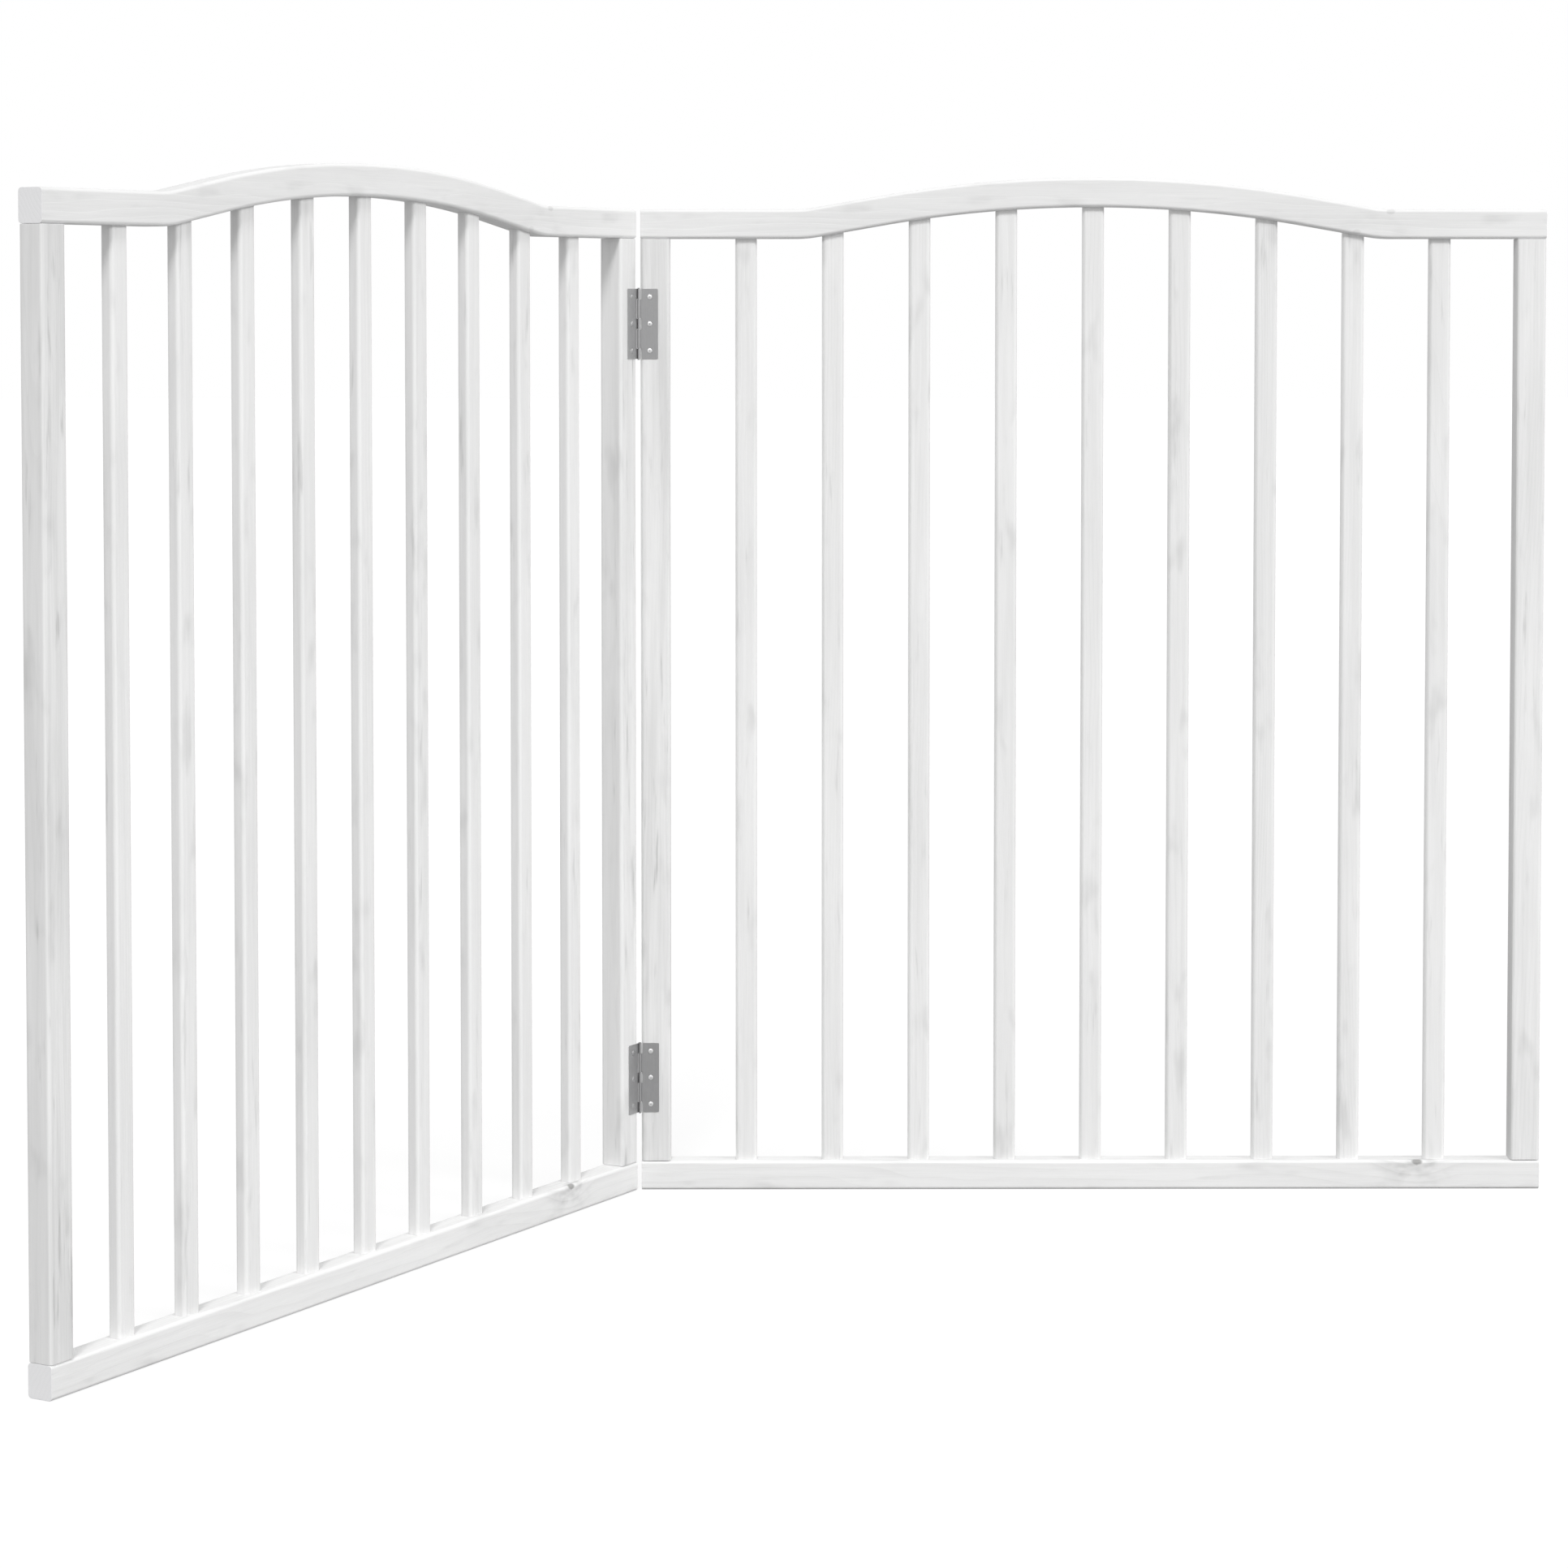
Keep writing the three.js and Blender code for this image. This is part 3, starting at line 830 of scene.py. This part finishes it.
for level in LEVELS:
    for side in PANELS:
        leaf = object_from(leaf_strip(side), f"{level}_hinge_{side}_leaf_steel")
        sinks = []
        for height in SCREW_HEIGHTS.values():
            bm = screw_blank(2 * HAIRLINE)
            move(bm, (SCREW_ROW, LEAF_FRONT, height))
            sinks.append(object_from(bm, "countersink"))
        carve(leaf, sinks)
        if side == "left":
            leaf.data.transform(Matrix.Scale(-1, 4, (1, 0, 0)))
            leaf.data.flip_normals()
        fit_steel(leaf, side, level, f"{level}_hinge_{side}_leaf", leaf_metal[side])

# ---------------------------------------------------------------- hinge pins
# A plain steel wire pin through the five knuckles of each hinge, its two ends peened over into
# small domes that keep it in.

pin_low, pin_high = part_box("upper_hinge_pin")
PIN_END = (pin_high.z - pin_low.z) / 2
PIN_HEAD = (pin_high.x - pin_low.x) / 2
PIN_CLEARANCE = 0.02 * MM
PIN_RADIUS = BARREL_RADIUS - LEAF_THICKNESS - PIN_CLEARANCE
PIN_DOME = 0.5 * MM
PIN_DOME_SECTION = ((1, 1), (1, 0.7), (0.8, 0.28), (0.45, 0.06), (0, 0))  # out, down from top

pin_metal = zinc_plate("zinc_plated_pin", (0.50, 0.50, 0.505), 0.36)

upper_half = [(PIN_RADIUS, PIN_END - PIN_DOME)]
upper_half += [(out * PIN_HEAD, PIN_END - down * PIN_DOME) for out, down in PIN_DOME_SECTION]
lower_half = [(radius, -height) for radius, height in reversed(upper_half)]
for level in LEVELS:
    pin = object_from(turned(lower_half + upper_half), level + "_hinge_pin_steel")
    fit_steel(pin, "right", level, level + "_hinge_pin", pin_metal)

# ---------------------------------------------------------------- hinge screws
# Twelve small countersunk wood screws with cross recesses, one above another down each leaf and
# each driven home to its own angle. Their slightly domed heads catch the light.

HEAD_DOME = 0.35 * MM
HEAD_DOME_SECTION = ((1, 0), (0.7, 0.6), (0.35, 0.92), (0, 1))  # out, up
RECESS_SPAN = 1.7 * MM
RECESS_WIDTH = 0.34 * MM
RECESS_DEPTH = 0.50 * MM
RECESS_TAPER = 0.5
CORNER_TO_FLAT = 1.414  # of a square, whose cone is measured across its corners

# The right leaves' screws take a near-white copy of the plating, a painted highlight that makes
# bright dots of their heads. The left leaves' screws keep a plainer, darker plating.
screw_metal = {
    "right": zinc_plate("painted_highlight_zinc_screw", (0.97, 0.97, 0.97), 0.49),
    "left": zinc_plate("plain_zinc_screw", (0.66, 0.66, 0.665), 0.46),
}


def screw(name):
    """A screw along +Y with its cross recess, its head's rim at y = 0."""
    shoulder = SCREW_LENGTH - 2 * SHANK_RADIUS
    profile = [(0, SCREW_LENGTH), (SHANK_RADIUS, shoulder), (SHANK_RADIUS, HEAD_HEIGHT)]
    profile.append((HEAD_RADIUS, HEAD_RIM))
    profile += [(out * HEAD_RADIUS, -up * HEAD_DOME) for out, up in HEAD_DOME_SECTION]
    bm = turned(profile)
    turn(bm, -90, "X")
    made = object_from(bm, name)
    wings = []
    for degrees in (0, 90):
        bm = bmesh.new()
        bmesh.ops.create_cone(
            bm, cap_ends=True, segments=4, radius1=RECESS_SPAN / 2,
            radius2=RECESS_TAPER * RECESS_SPAN / 2, depth=2 * RECESS_DEPTH,
        )
        turn(bm, 45, "Z")
        width = CORNER_TO_FLAT * RECESS_WIDTH / RECESS_SPAN
        bmesh.ops.scale(bm, vec=(CORNER_TO_FLAT, width, 1), verts=bm.verts)
        turn(bm, -90, "X")
        turn(bm, degrees, "Y")
        wings.append(object_from(bm, "recess"))
    carve(made, wings)
    return made


for level in LEVELS:
    for side in PANELS:
        for number, height in SCREW_HEIGHTS.items():
            node = f"{level}_hinge_{side}_screw_{number}"
            made = screw(node + "_steel")
            made.data.transform(Matrix.Rotation(chance.uniform(0, math.pi), 4, "Y"))
            row = SCREW_ROW if side == "right" else -SCREW_ROW
            made.data.transform(Matrix.Translation((row, LEAF_FRONT, height)))
            fit_steel(made, side, level, node, screw_metal[side])

# ---------------------------------------------------------------- studio
# A plain pale floor under an even white surround. A high soft key from the front models the
# slats, a second one from the right fills the fronts, and a weak one opens up the backs. The
# floor glows a little towards the camera, so that it runs into the white behind the gate.

FLOOR_SIZE = 60.0
FLOOR_DROP = 0.2 * MM
FLOOR_PAINT = (0.37, 0.37, 0.37, 1.0)
FLOOR_GLOW = 1.65  # brings the lit part of the floor just up to white
GLOW_SHARE = 0.5
SURROUND_LIGHT = 0.655
SURROUND_SEEN = 1.0
SUNS = (  # name, power, spread in degrees, and the direction it comes from
    ("front_key", 1.37, 12, (-0.10, -0.70, 0.707)),
    ("side_key", 1.17, 20, (0.804, -0.415, 0.424)),
    ("back_fill", 0.75, 20, (-0.62, 0.775, 0.12)),
)
CAMERA_FROM_HINGE = Vector((0.1099, -3.5742, 0.7898))
CAMERA_DIP = 2.596
CAMERA_TURN = -0.293

bpy.ops.mesh.primitive_plane_add(size=FLOOR_SIZE, location=(0, 0, -FLOOR_DROP))
floor = bpy.context.object
floor.name = "floor"
floor_paint, start = new_material("pale_floor")
dress(start, {"Base Color": FLOOR_PAINT, "Roughness": 0.9, "Specular IOR Level": 0.1})
painted = Signal(start.tree, start.tree.nodes["Principled BSDF"].outputs[0])
glow = start.node("ShaderNodeEmission", None, {"Strength": FLOOR_GLOW})
share = start.node("ShaderNodeLightPath") * GLOW_SHARE
lit = start.node("ShaderNodeMixShader", None, {0: share, 1: painted, 2: glow})
start.tree.links.new(lit.socket, start.tree.nodes["Material Output"].inputs["Surface"])
floor.data.materials.append(floor_paint)
floor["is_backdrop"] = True

world = bpy.data.worlds.new("surround")
bpy.context.scene.world = world
world.use_nodes = True
seen = Signal(world.node_tree).node("ShaderNodeLightPath")
strength = seen.band(0.0, 1.0, SURROUND_LIGHT, SURROUND_SEEN)
backdrop = world.node_tree.nodes["Background"]
backdrop.inputs["Color"].default_value = (1, 1, 1, 1)
world.node_tree.links.new(strength.socket, backdrop.inputs["Strength"])

for name, power, spread, towards in SUNS:
    sun = bpy.data.lights.new(name, "SUN")
    sun.energy = power
    sun.angle = math.radians(spread)
    lamp = bpy.data.objects.new(name, sun)
    lamp.visible_glossy = name != "back_fill"
    lamp.rotation_euler = Vector(towards).to_track_quat("Z", "Y").to_euler()
    bpy.context.scene.collection.objects.link(lamp)

camera = bpy.data.cameras.new("camera")
camera.lens = 92.95
camera.sensor_width = 36
camera.shift_y = -0.19
camera_object = bpy.data.objects.new("camera", camera)
camera_object.location = HINGE_LINE + CAMERA_FROM_HINGE
camera_object.rotation_euler = (math.radians(90 - CAMERA_DIP), 0, math.radians(CAMERA_TURN))
bpy.context.scene.collection.objects.link(camera_object)
bpy.context.scene.camera = camera_object
bpy.context.scene.view_settings.view_transform = "Standard"

low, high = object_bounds()
